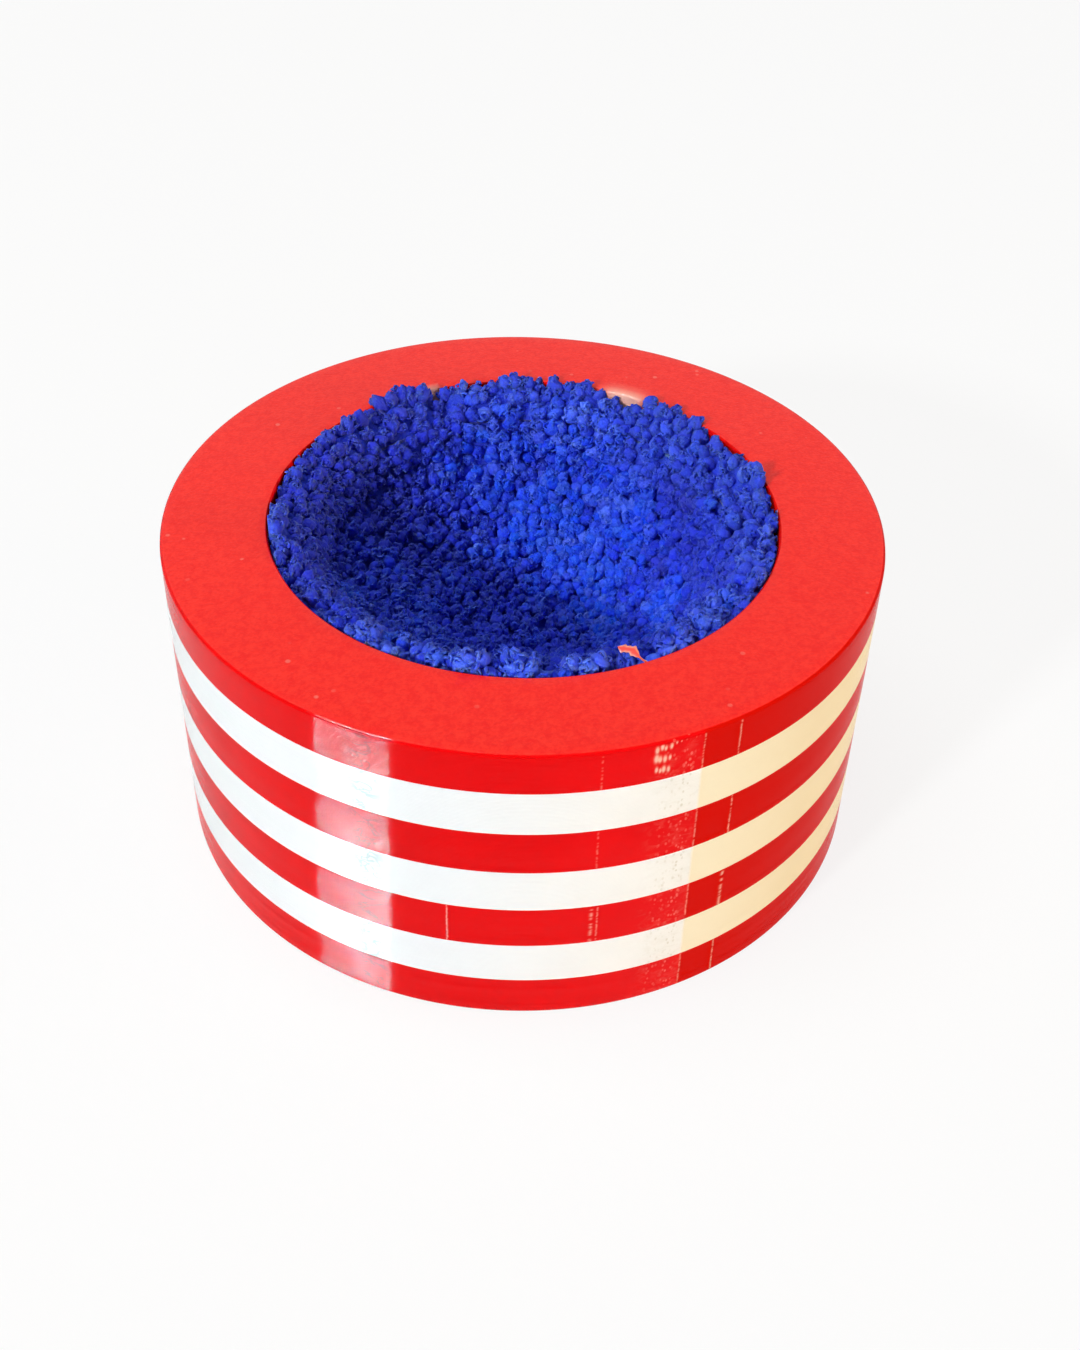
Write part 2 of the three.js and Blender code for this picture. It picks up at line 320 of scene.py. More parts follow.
black = print_plastic(
    "black_print",
    wall=(colour(0.016, 0.016, 0.018), colour(0.02, 0.02, 0.022), colour(0.016, 0.016, 0.018)),
    face=(colour(0.02, 0.02, 0.02), colour(0.016, 0.016, 0.016)),
    scar_and_glint=colour(0.08, 0.08, 0.08), grey=colour(0.01, 0.01, 0.01), gloss=0.22)


def pile_material():
    """Looped microfibre: each tuft has a tone of its own, crumbs of yarn, a sheen at its edges, painted light and
    shade by the tip value, and pale painted highlights on the crest.
    """
    n = Nodes("blue_pile")
    at = n.coords()
    tone = n.value("tone")
    tip = n.value("tip")
    fine = n.noise(at, 5200.0, 3.0, 0.7)
    crumbs = n.cells(at, 2600.0).outputs["Distance"]
    # Painted light and shade: a shaded and a lit blue, mixed by the tip value
    painted_shading = n.mix(tip, colour(0.032, 0.040, 0.43), colour(0.014, 0.048, 0.88))
    lively = n.mix(tone, painted_shading, colour(0.012, 0.082, 1.0))
    # Flecks of yarn, stronger where the painted light is
    fleck = n.math("MULTIPLY", n.span(crumbs, 0.35, 0.05), n.math("MULTIPLY", tip, 0.40))
    flecked = n.mix(fleck, lively, colour(0.09, 0.19, 1.0))
    # Pale painted highlights on the crest
    body = n.mix(n.math("MULTIPLY", n.value("pale"), tip), flecked, colour(0.13, 0.21, 0.94))
    relief = n.math("ADD", n.math("MULTIPLY", crumbs, -0.5), n.math("MULTIPLY", fine, 0.35))
    return n.shader(
        Base_Color=body, Normal=n.bump(relief, 0.22, 0.8), Roughness=0.9, IOR=1.4, Specular_IOR_Level=0.08,
        Sheen_Weight=0.12, Sheen_Roughness=0.4, Sheen_Tint=colour(0.36, 0.50, 1.0),
        Subsurface_Weight=0.6, Subsurface_Radius=(0.5, 0.7, 1.6), Subsurface_Scale=0.8 * MM,
    )


def cloth_material():
    """The ground weave under the pile, seen only at the hem and the back."""
    n = Nodes("pile_ground")
    at = n.coords()
    weave = n.math("MULTIPLY", n.math("SINE", n.math("MULTIPLY", n.xyz(at)[0], 9000.0)),
                   n.math("SINE", n.math("MULTIPLY", n.math("ADD", n.xyz(at)[1], n.xyz(at)[2]), 9000.0)))
    stain = n.noise(at, 900.0, 3.0)
    body = n.mix(n.span(stain, 0.3, 0.7), colour(0.006, 0.012, 0.20), colour(0.010, 0.022, 0.32))
    return n.shader(Base_Color=body, Normal=n.bump(weave, 0.06, 0.8), Roughness=0.95,
                    Sheen_Weight=0.3, Sheen_Roughness=0.5)


def foam_material():
    n = Nodes("sponge_foam")
    at = n.coords()
    pores = n.cells(at, 900.0).outputs["Distance"]
    small = n.cells(at, 2300.0).outputs["Distance"]
    pits = n.math("ADD", n.span(pores, 0.0, 0.5), n.math("MULTIPLY", small, 0.4))
    body = n.mix(n.span(pores, 0.05, 0.45), colour(0.42, 0.27, 0.06), colour(0.80, 0.60, 0.22))
    return n.shader(Base_Color=body, Normal=n.bump(pits, 0.35, 0.9), Roughness=0.95,
                    Sheen_Weight=0.2, Sheen_Roughness=0.5)


def rubber_material():
    n = Nodes("rubber_ring")
    at = n.coords()
    fine = n.noise(at, 3000.0, 3.0)
    body = n.mix(fine, colour(0.012, 0.012, 0.013), colour(0.022, 0.021, 0.020))
    return n.shader(Base_Color=body, Normal=n.bump(fine, 0.02, 0.7), Roughness=0.62)


blue = pile_material()
ground = cloth_material()
foam = foam_material()
rubber = rubber_material()


# Wall of the cup: seven bands, finely divided, with the marks that printing leaves

# Start and stop scars: degrees from the front towards +X, half width in degrees, height in mm,
# how many of the layers show it, how pale it is, and the bands that have it, counted from the floor
SCARS = [
    (27.3, 0.12, 0.05, 0.85, 0.6, (0, 1, 2, 3, 4, 5, 6)),
    (33.4, 0.12, 0.06, 0.90, 0.8, (0, 4, 6)),
    (33.4, 0.24, 0.10, 0.75, 1.0, (2,)),
    (12.3, 0.14, 0.03, 0.60, 0.25, (4, 6)),
    (12.0, 0.22, 0.04, 0.70, 0.6, (2,)),
    (12.9, 0.12, 0.04, 0.70, 0.5, (2,)),
    (-9.3, 0.10, 0.05, 0.95, 0.7, (2,)),
]
# Blobs of the rim band, raised, their pale colour a painted glint: degrees from the front, height in the band, size;
# a block of them, then a short row
BLOB_RNG = np.random.default_rng(5)
BLOBS = [(20.1 + 0.62 * i + BLOB_RNG.normal(0, 0.1), 4.6 - 1.55 * j + BLOB_RNG.normal(0, 0.12),
          BLOB_RNG.uniform(0.65, 1.25))
         for j in range(3) for i in range(4)]
BLOBS += [(22.9, 5.0, 0.45), (23.6, 5.05, 0.35), (24.4, 5.1, 0.3), (25.9, 5.1, 0.28), (26.5, 5.1, 0.25)]


# Pale glints on the edge of the bore: degrees from the front towards +X, half width, reach in mm
GLINTS = [(156.0, 5.5, 2.0), (-155.0, 1.8, 1.5)]
GLINT_DEPTH = 2.5
# From here on the wall's right is coloured warmer and darker, painted warm light and shade of that side, and reflects
# less;
# its flawed stretch lies between the next two, all in degrees
PAINTED_WARM_FROM = 27.1
FLAW_FROM, FLAW_TO = 18.5, 27.4


def columns():
    """Directions round the wall in degrees from the front, closer together where it is scarred."""
    turns = set(np.round(np.arange(-180, 180, 1.25), 4))
    for at, half, *_ in SCARS:
        turns |= {round(at + half * k, 4) for k in (-3, -2, -1, -0.5, 0, 0.5, 1, 2, 3)}
    turns |= {round(k, 4) for k in np.arange(19.4, 27.0, 0.11)}
    return np.array(sorted(turns))


TURNS = columns()


def wall_marks(turns, level, band, rng):
    """Height in mm and paleness of the scars and of the blobs, whose paleness is a painted glint, and how flawed the
    wall is, round one level of a band.
    """
    rise = np.zeros(len(turns))
    pale = np.zeros(len(turns))
    for at, half, height, share, paleness, bands in SCARS:
        if band not in bands:
            continue
        shown = (rng.random() < share) * (0.5 + 0.5 * rng.random())
        bell = np.exp(-(((turns - at - 0.03 * rng.standard_normal()) / half) ** 2))
        rise += height * shown * bell
        pale += shown * bell * paleness
    if band == 6:
        for at, z, size in BLOBS:
            bell = np.exp(-(((turns - at) / (0.22 * size)) ** 2) - ((level - z) / (0.36 * size)) ** 2)
            rise += 0.14 * size * bell
            # The blobs' pale colour is a painted glint
            pale += 2.2 * bell
    flaw = np.clip((turns - FLAW_FROM) / 3, 0, 1) * np.clip((FLAW_TO - turns) / 0.3, 0, 1)
    return rise, np.clip(pale, 0, 1), flaw


def band_mesh(name, band, bottom, height, top_edge, bore_edge, closed_floor):
    """A band of the wall, with a level ring for every printed layer, its marks and, for the lowest, the floor."""
    rng = np.random.default_rng(100 + band)
    steps = int(round(height / LAYER))
    outer = [(SHELL_R, LAYER * k) for k in range(steps + 1)]
    if closed_floor:
        foot = [(SHELL_R - FOOT_EDGE + FOOT_EDGE * math.sin(t), FOOT_EDGE - FOOT_EDGE * math.cos(t))
                for t in np.linspace(0, math.pi / 2, 5)]
        outer = foot + [p for p in outer if p[1] > FOOT_EDGE + 0.01]
    if top_edge:
        turned = [(SHELL_R - top_edge + top_edge * math.cos(t), height - top_edge + top_edge * math.sin(t))
                  for t in np.linspace(0, math.pi / 2, 6)]
        outer = [p for p in outer if p[1] < height - top_edge - 0.01] + turned
        outer += [(r, height) for r in np.linspace(SHELL_R - top_edge, BORE_R + bore_edge, 10)[1:-1]]
    if bore_edge:
        inner = [(BORE_R + bore_edge - bore_edge * math.sin(t), height - bore_edge + bore_edge * math.cos(t))
                 for t in np.linspace(0, math.pi / 2, 5)]
    else:
        inner = [(BORE_R, height)]
    low = SEAT if closed_floor else 0.0
    start = inner[-1][1]
    levels = max(2, int(round((start - low) / (2 * LAYER))))
    inner += [(BORE_R, z) for z in np.linspace(start, low, levels)[1:]]
    section = outer + inner
    if closed_floor:
        underside = [(2.0, 0.0), (22.0, 0.0)]
        sump = [(SUMP_R, SEAT), (SUMP_R, FLOOR_T), (14.0, FLOOR_T), (2.0, FLOOR_T)]
        section = underside + section + sump
    turns = np.radians(TURNS)
    points, scar_and_glint, flaws = [], [], []
    for radius, z in section:
        on_wall = radius > SHELL_R - 0.02 and 0.05 < z < height - 0.05
        rise, pale, flaw = wall_marks(TURNS, z, band, rng)
        step = 0.004 * rng.standard_normal() if on_wall else 0.0
        r = radius + (rise + step if on_wall else 0.0)
        points.append(np.stack([r * np.sin(turns), -r * np.cos(turns), np.full(len(turns), bottom + z)], 1))
        scar_and_glint.append(pale if on_wall else pale * 0)
        flaws.append(flaw if on_wall else flaw * 0)
    points = np.concatenate(points)
    scar_and_glint, flaws = np.concatenate(scar_and_glint), np.concatenate(flaws)
    cols = len(turns)
    faces = grid_faces(len(section), cols, not closed_floor)
    if closed_floor:
        low_pole, high_pole = len(points), len(points) + 1
        points = np.concatenate([points, [[0, 0, bottom], [0, 0, bottom + FLOOR_T]]])
        last = (len(section) - 1) * cols
        faces += [(low_pole, (k + 1) % cols, k) for k in range(cols)]
        faces += [(high_pole, last + k, last + (k + 1) % cols) for k in range(cols)]
        scar_and_glint, flaws = np.append(scar_and_glint, [0, 0]), np.append(flaws, [0, 0])
    turned = np.degrees(np.arctan2(points[:, 0], -points[:, 1]))
    # Painted glints: a pale highlight colour added to the scar marks on the bore's edge
    if bore_edge:
        from_bore = np.linalg.norm(points[:, :2], axis=1) - BORE_R
        on_edge = points[:, 2] > bottom + height - GLINT_DEPTH
        for at, half, reach in GLINTS:
            near = np.clip(1 - from_bore / reach, 0, 1)
            scar_and_glint += on_edge * near * np.exp(-(((turned - at) / half) ** 4))
    obj = mesh_object(name, points, faces, sharp=40)
    attribute(obj, "scar_and_glint", scar_and_glint)
    attribute(obj, "flaw", flaws)
    crumb = np.exp(-(((turned - 25.0) / 0.9) ** 2)) + 0.6 * np.exp(-(((turned - 22.3) / 1.0) ** 2))
    attribute(obj, "crumb", crumb)
    attribute(obj, "wavy", np.exp(-(((turned + 21.3) / 2.3) ** 4)))
    # Where the wall's right gets its painted warm light and shade
    attribute(obj, "painted_warm_light", np.clip((turned - PAINTED_WARM_FROM) / 0.4, 0, 1) * np.clip((140 - turned) / 60, 0, 1))
    return obj


for index, label in enumerate(["red_base", "white", "red", "white", "red", "white", "red_rim"]):
    top = index == 6
    piece = band_mesh(
        f"wall_{index + 1}_{label}", index, index * BAND_H, RIM_H if top else BAND_H,
        TOP_EDGE if top else 0.0, BORE_EDGE if top else 0.0, index == 0,
    )
    piece.data.materials.append(red if label.startswith("red") else white)
    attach(piece, "shell")
    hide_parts(f"band_{index + 1}_{label}")


# A sliver of print still hangs from the edge of the bore, over the pile

SLIVER_ROOT = (14.35, -27.95, 41.25)
SLIVER_TIP = (11.0, -26.9, 42.6)
SLIVER_WIDE, SLIVER_THICK = 0.42, 0.07


def sliver():
    """A thin curled leaf from its root in the rim to its free tip."""
    steps, sides = 26, 10
    root, tip = np.array(SLIVER_ROOT), np.array(SLIVER_TIP)
    run = (tip - root) / np.linalg.norm(tip - root)
    across = np.cross(run, (0, 0.76, -0.64))
    across /= np.linalg.norm(across)
    face = np.cross(across, run)
    t = np.linspace(0, 1, steps)
    half = 0.10 + SLIVER_WIDE * np.sin(math.pi * np.clip((t - 0.22) / 0.78, 0, 1)) ** 0.8
    half *= np.clip((1.02 - t) / 0.1, 0.1, 1) * (1 + 0.25 * np.sin(17 * t) + 0.15 * np.sin(41 * t))
    sag = 0.35 * np.sin(math.pi * t)
    centre = root + (tip - root) * t[:, None] + np.array([0, 0, 1.0]) * sag[:, None]
    centre = centre + across * (0.12 * np.sin(9 * t))[:, None]
    b = np.linspace(0, 2 * math.pi, sides, endpoint=False)
    curl = 0.35 * half[:, None] * np.cos(b) ** 2
    points = (centre[:, None] + across * (half[:, None] * np.cos(b))[..., None]
              + face * (SLIVER_THICK * np.sin(b) + curl)[..., None])
    faces = grid_faces(steps, sides, False)
    faces += [tuple(range(sides))[::-1], tuple((steps - 1) * sides + k for k in range(sides))]
    obj = mesh_object("rim_sliver", points.reshape(-1, 3), faces)
    attribute(obj, "scar_and_glint", (0.95 * np.cos(b)[None] ** 2 + 0.08 + 0 * curl).reshape(-1))
    obj.data.materials.append(red)
    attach(obj, "shell")
    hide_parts("band_7_red_rim")


sliver()


# Bowl of pile. Its front is the surface that the tips of the tufts reach.

# A tuft: points and girth of its body, its curls, and the rings and sides of a curl
CORE_POINTS = 42
CORE = 0.8
CURLS = 6
CURL_STEPS = 6
CURL_SIDES = 3
# The pile lies towards the back right, so the tufts of the slope that faces that way are coloured darker,
# partly the nap's own dark side and partly painted shade
NAP = (0.82, 0.57, 0.0)
# The slope that faces against this way is rougher, and its tufts are coloured darker, as in shade
SHADED = (0.9, -0.2, 0.0)
# Left of the first the tufts are coloured darker, painted shade; behind the hollow, left of the second
LEFT_SHADE_EDGE, LEFT_SHADE_BACK = -21.0, -8.0

# The bowl's section in mm: neck, crest and lip of its front, lowest point, and the cloth at its back
NECK_R, CREST_R, LIP_R, BACK_R = 23.8, 28.75, 30.85, 27.0
NECK_Z, PILE_Z, LIP_Z = 35.5, 40.5, 38.4
LOW_Z, BACK_LOW, BACK_HIGH = 18.5, 12.7, 29.45
POWER = 1.5
CLOTH_T = 0.7
# The hollow's lowest point leans this far to the right and to the back
SHIFT = np.array([10.0, 4.5])
# The bed's depth below the front, and how close it stays under the crest, so that it covers the hoop
BED_DEPTH = 1.7
BED_FLOOR = -0.95
# Room for the tufts in the bore, for the bed, and how far the pile may lean over the rim at the back
TUFT_ROOM, BED_ROOM, OVER_RIM = 31.1, 31.0, 1.3
# Directions, in degrees from +X, and half widths where the crest sinks and shows the edge of the bore
DIPS = [(66.0, 5.5), (115.0, 2.2)]


def meridian():
    """The bowl's front from its deepest point to the wall of the bore: radius, height and share of the lean."""
    u = np.linspace(0, 1, 240)
    rows = [np.stack([NECK_R * u, LOW_Z + (NECK_Z - LOW_Z) * u ** POWER, 1 - u], 1)]
    tilt = math.atan(POWER * (NECK_Z - LOW_Z) / NECK_R)
    t = np.linspace(tilt, 0, 90)[1:]
    climb = (np.cos(t) - math.cos(tilt)) / (1 - math.cos(tilt))
    rows.append(np.stack([CREST_R - (CREST_R - NECK_R) * np.sin(t) / math.sin(tilt),
                          NECK_Z + (PILE_Z - NECK_Z) * climb, 0 * t], 1))
    t = np.linspace(0, math.pi / 2, 60)[1:]
    rows.append(np.stack([CREST_R + (LIP_R - CREST_R) * np.sin(t), LIP_Z + (PILE_Z - LIP_Z) * np.cos(t), 0 * t], 1))
    line = np.concatenate(rows)
    run = np.concatenate([[0], np.cumsum(np.hypot(np.diff(line[:, 0]), np.diff(line[:, 1])))])
    return line, run


LINE, RUN = meridian()


def front(run, turn):
    """A point of the bowl's front, in mm, by its distance along the meridian and its direction."""
    r = np.interp(run, RUN, LINE[:, 0])
    z = np.interp(run, RUN, LINE[:, 1])
    lean = np.interp(run, RUN, LINE[:, 2])
    x = r * np.cos(turn) + lean * SHIFT[0]
    y = r * np.sin(turn) + lean * SHIFT[1]
    return np.stack([x, y, z + 0 * turn], -1)


def front_frame(run, turn):
    """Point, outward normal and a tangent of the front at given places."""
    step = 0.05
    p = front(run, turn)
    along = front(np.minimum(run + step, RUN[-1]), turn) - front(np.maximum(run - step, 0), turn)
    round_it = front(run, turn + 0.002) - front(run, turn - 0.002)
    normal = np.cross(along, round_it)
    normal /= np.linalg.norm(normal, axis=-1, keepdims=True) + 1e-12
    along /= np.linalg.norm(along, axis=-1, keepdims=True) + 1e-12
    return p, normal, along


def clump(p):
    """Soft heaps of pile, a few millimetres across, from -1 to 1."""
    return np.array([noise.noise(Vector(q) * 0.17) + 0.8 * noise.noise(Vector(q) * 0.38 + Vector((9, 2, 5)))
                     for q in p])


def crest_rise(run, turn):
    """How much of the crest a place has, how far behind it is, its lump and its dip, and how far it rises."""
    crest = np.exp(-(((np.interp(run, RUN, LINE[:, 0]) - CREST_R - 0.6) / 2.5) ** 2)) * (run > 0.7 * RUN[-1])
    wave = np.array([noise.noise(Vector((3.1 * math.cos(t), 3.1 * math.sin(t), 4))) for t in turn])
    lump = np.array([noise.noise(Vector((9.0 * math.cos(t), 9.0 * math.sin(t), 0.7 * h)))
                     for h, t in zip(run, turn)])
    behind = 0.5 + 0.5 * np.sin(turn)
    dip = sum(np.exp(-((np.degrees(turn) % 360 - at) / half) ** 4) for at, half in DIPS)
    uneven = np.maximum(1.9 * wave + 1.7 * lump, -0.8)
    return crest, behind, lump, dip, crest * (0.5 + 0.8 * behind + uneven - 1.5 * dip)


def ball(count):
    """Evenly spread directions and the triangles between them."""
    k = np.arange(count) + 0.5
    polar, around = np.arccos(1 - 2 * k / count), math.pi * (1 + math.sqrt(5)) * k
    points = np.stack([np.sin(polar) * np.cos(around), np.sin(polar) * np.sin(around), np.cos(polar)], 1)
    mesh = bmesh.new()
    for p in points:
        mesh.verts.new(p)
    mesh.verts.index_update()
    bmesh.ops.convex_hull(mesh, input=mesh.verts[:])
    faces = np.array([[v.index for v in f.verts] for f in mesh.faces])
    a, b, c = (points[faces[:, k]] for k in range(3))
    turned = np.einsum("ij,ij->i", np.cross(b - a, c - a), a) < 0
    faces[turned] = faces[turned][:, ::-1]
    mesh.free()
    return points, faces


def tuft_places(rng):
    """Where tufts stand, as distance along the meridian and direction: smaller and closer in the depth."""
    places, sizes = [], []
    run = 0.5
    while run < RUN[-1] - 0.3:
        share = run / RUN[-1]
        size = 0.70 + 0.42 * share
        pitch = (1.45 + 0.12 * share) * size
        radius = max(np.interp(run, RUN, LINE[:, 0]), 0.5)
        count = max(3, int(round(2 * math.pi * radius / pitch)))
        turn = (np.arange(count) + rng.random()) * 2 * math.pi / count
        turn = turn + rng.normal(0, 0.2, count) * pitch / radius
        places.append(np.stack([run + rng.normal(0, 0.25, count), turn], 1))
        sizes.append(size * rng.uniform(0.8, 1.2, count))
        run += pitch * 0.9
    places = np.concatenate(places)
    places[:, 0] = np.clip(places[:, 0], 0.2, RUN[-1] - 0.2)
    return places, np.concatenate(sizes)


def tufts(rng):
    """Every tuft is a closed lump of curled yarn, standing on the bed at its own height, tilt and size.
    away and turned say which way the slope faces; the pile is worn in its middle, and its colour carries painted
    light and shade."""
    places, size = tuft_places(rng)
    p, normal, along = front_frame(places[:, 0], places[:, 1])
    count = len(p)
    share = places[:, 0] / RUN[-1]
    crest, behind, lump, dip, rise = crest_rise(places[:, 0], places[:, 1])
    heap = clump(p)
    away = normal @ np.array(NAP)
    turned = np.clip((-normal @ np.array(SHADED) - 0.2) / 0.35, 0, 1) * (share < 0.92)
    leeward = np.clip((away + 0.2) / 0.4, 0, 1)
    rough = 1 + 1.2 * turned - 0.5 * leeward * (share < 0.75)
    height = -0.95 * size + (0.5 + 0.8 * share ** 2) * heap + rng.normal(0, 0.2, count) * rough
    height = np.where(share > 0.72, np.maximum(height, -0.8), height)
    height = np.where(share > 0.95, -0.8, height)
    p = p + normal * height[:, None]
    p[:, 2] += rise + crest * rng.normal(0, 0.25, count)
    outward = np.stack([np.cos(places[:, 1]), np.sin(places[:, 1]), np.zeros(count)], 1)
    p += outward * (crest * (0.5 + 1.0 * behind + 0.9 * lump) * (1 - 0.8 * dip))[:, None]
    # Smaller, lighter tufts in the middle on the slope that faces the key lamp: partly wear, partly painted light
    worn_and_lit = np.clip((0.8 - share) / 0.3, 0, 1) * np.clip(0.4 - away / 0.35, 0, 1)
    # Painted shade on the left, and behind the hollow on its left
    left_shade = np.maximum(np.clip((LEFT_SHADE_EDGE - p[:, 0]) / 5, 0, 1),
                         np.clip((LEFT_SHADE_BACK - p[:, 0]) / 8, 0, 1) * np.clip((p[:, 1] - 3) / 5, 0, 1))
    # Painted shade, partly the nap's own dark side: darker on the slope that faces the nap, on the right slope, at
    # the back crest, on the left and in the gaps between clumps, lighter on the clumps' tops
    nap_and_shade = leeward + 1.6 * turned + 1.1 * crest * behind + 1.1 * left_shade - 2.4 * heap
    side = np.cross(normal, along)
    lean = rng.normal(0, 0.28, (count, 2))
    up = normal + lean[:, :1] * along + lean[:, 1:] * side
    up /= np.linalg.norm(up, axis=1, keepdims=True)
    u = np.cross(up, side + 0.3 * along)
    u /= np.linalg.norm(u, axis=1, keepdims=True)
    v = np.cross(up, u)
    girth = CORE * size * (1 + 0.15 * worn_and_lit)
    axes = np.stack([u * (girth * rng.uniform(0.9, 1.2, count))[:, None],
                     v * (girth * rng.uniform(0.9, 1.2, count))[:, None],
                     up * (size * (1.1 - 0.4 * worn_and_lit))[:, None]], 1)
    # Each tuft's tone varies at random, is lighter where worn and painted light falls, and darker in painted shade
    tone = np.clip(0.25 + 0.25 * rng.standard_normal(count) + 0.55 * worn_and_lit - 0.6 * np.clip(nap_and_shade, 0, 1.4), 0, 1)
    # Pale painted highlights on the crest's tufts, fewer at the back, on the left and in painted shade, and a few at
    # random all over
    pale = crest * (0.35 + 0.9 * heap + 0.3 * rng.standard_normal(count))
    pale = pale * (1 - 0.6 * behind) * (1 - 0.6 * left_shade)
    pale = np.clip(pale + 0.28 * np.abs(rng.standard_normal(count)) * np.clip(1 - 0.6 * nap_and_shade, 0, 1), 0, 0.55)
    parts = [cores(rng, p, axes, worn_and_lit, nap_and_shade), curls(rng, p, axes, size, worn_and_lit, nap_and_shade)]
    points = np.concatenate([part[0] for part in parts])
    radius = np.linalg.norm(points[:, :2], axis=1)
    room = TUFT_ROOM + np.where(points[:, 2] > HEIGHT + 0.1, OVER_RIM * np.clip(points[:, 1] / 20, 0, 1), 0)
    points[:, :2] *= np.minimum(1, room / radius)[:, None]
    faces, start = [], 0
    for part in parts:
        faces += [tuple(start + k for k in f) for f in part[1].tolist() + part[2].tolist()]
        start += len(part[0])
    own = np.concatenate([part[3] for part in parts])
    tip = np.concatenate([part[4] for part in parts])
    # On the slope that faces the nap the painted light is pulled to an even level, lower on the left and at the back
    # crest
    even = 0.2 + 0.6 * leeward[own]
    level = 0.42 - 0.26 * left_shade - 0.10 * crest * behind
    return points, faces, tone[own], tip + even * (level[own] - tip), pale[own]


def cores(rng, p, axes, worn_and_lit, nap_and_shade):
    """The lumpy body of every tuft."""
    count = len(p)
    dirs, faces = ball(CORE_POINTS)
    swell = np.ones((count, len(dirs)))
    for wide, strength in ((3.0, 0.14), (6.5, 0.12)):
        way = rng.normal(0, 1, (count, 3))
        way *= wide / np.linalg.norm(way, axis=1, keepdims=True)
        swell += strength * np.sin(way @ dirs.T + rng.random((count, 1)) * 2 * math.pi)
    local = swell[..., None] * dirs[None]
    points = p[:, None] + np.einsum("nkj,njc->nkc", local, axes)
    faces = (faces[None] + (np.arange(count) * len(dirs))[:, None, None]).reshape(-1, 3)
    # Painted light at the tuft's top and painted shade at its base, lighter where worn and lit, darker in painted
    # shade
    tip = np.clip((0.35 + 0.4 * local[..., 2] + 0.4 * worn_and_lit[:, None]) * (1 - 0.25 * nap_and_shade[:, None]), 0, 1)
    own = np.repeat(np.arange(count), len(dirs))
    return points.reshape(-1, 3), faces, np.empty((0, 3), int), own, tip.reshape(-1)


def curls(rng, p, axes, size, worn_and_lit, nap_and_shade):
    """Short arches of yarn that stand out all over a tuft, with both feet inside it."""
    own = np.repeat(np.arange(len(p)), CURLS)
    many = len(own)
    rise = rng.uniform(0.05, 1, many)
    round_it = rng.random(many) * 2 * math.pi
    flat = np.sqrt(1 - rise ** 2)
    local = np.stack([flat * np.cos(round_it), flat * np.sin(round_it), rise], 1)
    foot = p[own] + np.einsum("nj,njc->nc", local, axes[own]) * 0.92
    out = foot - p[own]
    out /= np.linalg.norm(out, axis=1, keepdims=True)
    over = np.cross(out, rng.normal(0, 1, (many, 3)))
    over /= np.linalg.norm(over, axis=1, keepdims=True)
    across = np.cross(out, over)
    reach = size[own] * rng.uniform(0.26, 0.44, many) * (1 - 0.35 * worn_and_lit[own]) * (1 - 0.3 * np.clip(nap_and_shade[own], 0, 1))
    yarn = size[own] * rng.uniform(0.13, 0.20, many)
    a = np.linspace(-0.2, 1.2, CURL_STEPS) * math.pi
    twist = np.sin(2 * a[None] + rng.random((many, 1)) * 2 * math.pi) * 0.4
    centre = foot[:, None] + reach[:, None, None] * (
        np.cos(a)[None, :, None] * over[:, None] + 1.15 * np.sin(a)[None, :, None] * out[:, None]
        + twist[..., None] * across[:, None])
    ahead = np.gradient(centre, axis=1)
    ahead /= np.linalg.norm(ahead, axis=-1, keepdims=True)
    first = np.cross(ahead, across[:, None] + 0 * ahead)
    first /= np.linalg.norm(first, axis=-1, keepdims=True)
    second = np.cross(ahead, first)
    b = np.arange(CURL_SIDES) * 2 * math.pi / CURL_SIDES
    tube = centre[:, :, None] + yarn[:, None, None, None] * (
        np.cos(b)[None, None, :, None] * first[:, :, None] + np.sin(b)[None, None, :, None] * second[:, :, None])
    i, j = np.meshgrid(np.arange(CURL_STEPS - 1), np.arange(CURL_SIDES), indexing="ij")
    n = (j + 1) % CURL_SIDES
    near, far = i * CURL_SIDES, (i + 1) * CURL_SIDES
    quads = np.stack([near + j, near + n, far + n, far + j], -1).reshape(-1, 4)
    last = (CURL_STEPS - 1) * CURL_SIDES
    caps = np.array([np.arange(CURL_SIDES)[::-1], last + np.arange(CURL_SIDES)])
    step = (np.arange(many) * CURL_STEPS * CURL_SIDES)[:, None, None]
    # Painted light at the top of each arch, lighter where worn and lit, darker in painted shade
    tip = 0.3 + 0.6 * np.clip(np.sin(a), 0, 1)[None, :, None] * (0.55 + 0.45 * rise)[:, None, None] + 0 * tube[..., 0]
    tip = np.clip((tip + 0.35 * worn_and_lit[own][:, None, None]) * (1 - 0.25 * nap_and_shade[own][:, None, None]), 0, 1)
    return (tube.reshape(-1, 3), (quads[None] + step).reshape(-1, 4), (caps[None] + step).reshape(-1, CURL_SIDES),
            np.repeat(own, CURL_STEPS * CURL_SIDES), tip.reshape(-1))


